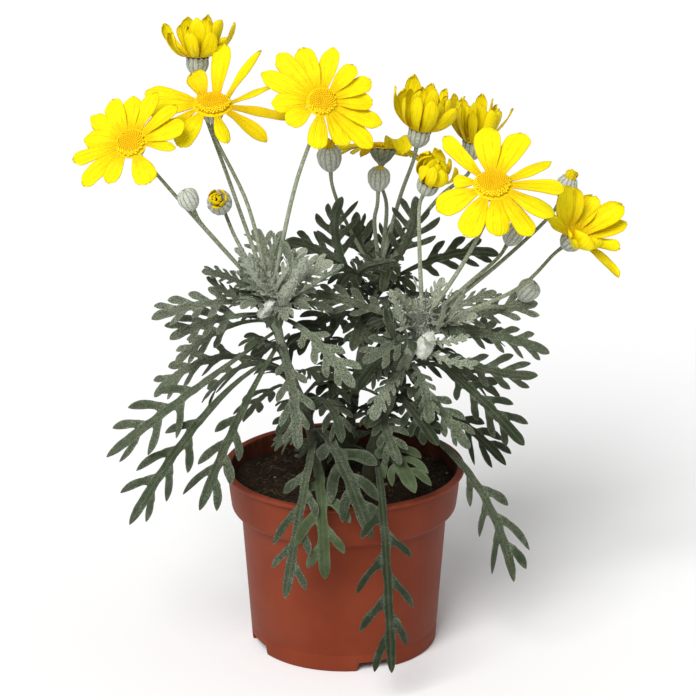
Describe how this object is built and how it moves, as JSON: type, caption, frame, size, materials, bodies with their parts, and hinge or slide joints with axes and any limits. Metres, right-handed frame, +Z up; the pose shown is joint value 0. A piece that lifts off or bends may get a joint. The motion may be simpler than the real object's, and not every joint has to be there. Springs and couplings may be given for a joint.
{
  "type": "potted gray-leaved euryops",
  "caption": "Shrubby daisy in a round nursery pot: deeply cut gray-felted leaves, yellow daisy heads on long bare stalks, and felted buds, growing in dark peat.",
  "frame": {"origin": "under the middle of the whole plant's bounding box, on the surface that the pot stands on", "axes": "+Z up; the front that the picture shows looks towards -Y, with +X to its right"},
  "size_m": [0.2654, 0.1814, 0.3171],
  "materials": {
    "pot_plastic": "satin terracotta-brown moulded plastic",
    "peat": "moist, crumbly dark peat",
    "felted_leaf": "gray-green with short white felt",
    "ray_yellow": "silky bright yellow",
    "disc_gold": "matt beaded gold"
  },
  "bodies": {
    "root": {"pot": "pot_plastic", "soil": "peat", "leafy_stem_left": "felted_leaf", "leafy_stem_centre": "felted_leaf", "leafy_stem_right": "felted_leaf", "bloom_far_left_rays": "ray_yellow", "bloom_far_left_disc": "disc_gold", "bloom_left_high_rays": "ray_yellow", "bloom_left_high_disc": "disc_gold", "bloom_left_cup_rays": "ray_yellow", "bloom_left_cup_disc": "disc_gold", "bloom_middle_rays": "ray_yellow", "bloom_middle_disc": "disc_gold", "bloom_middle_back_rays": "ray_yellow", "bloom_middle_back_disc": "disc_gold", "bloom_middle_cup_rays": "ray_yellow", "bloom_middle_cup_disc": "disc_gold", "bloom_opening_rays": "ray_yellow", "bloom_opening_disc": "disc_gold", "bloom_right_cup_rays": "ray_yellow", "bloom_right_cup_disc": "disc_gold", "bloom_right_front_rays": "ray_yellow", "bloom_right_front_disc": "disc_gold", "bloom_far_right_rays": "ray_yellow", "bloom_far_right_disc": "disc_gold", "bud_left_open_tuft": "ray_yellow", "bud_middle_open_tuft": "ray_yellow", "bud_middle_round_tuft": "ray_yellow", "bud_right_open_tuft": "ray_yellow", "bud_right_low_tuft": "ray_yellow"}
  },
  "joints": []
}
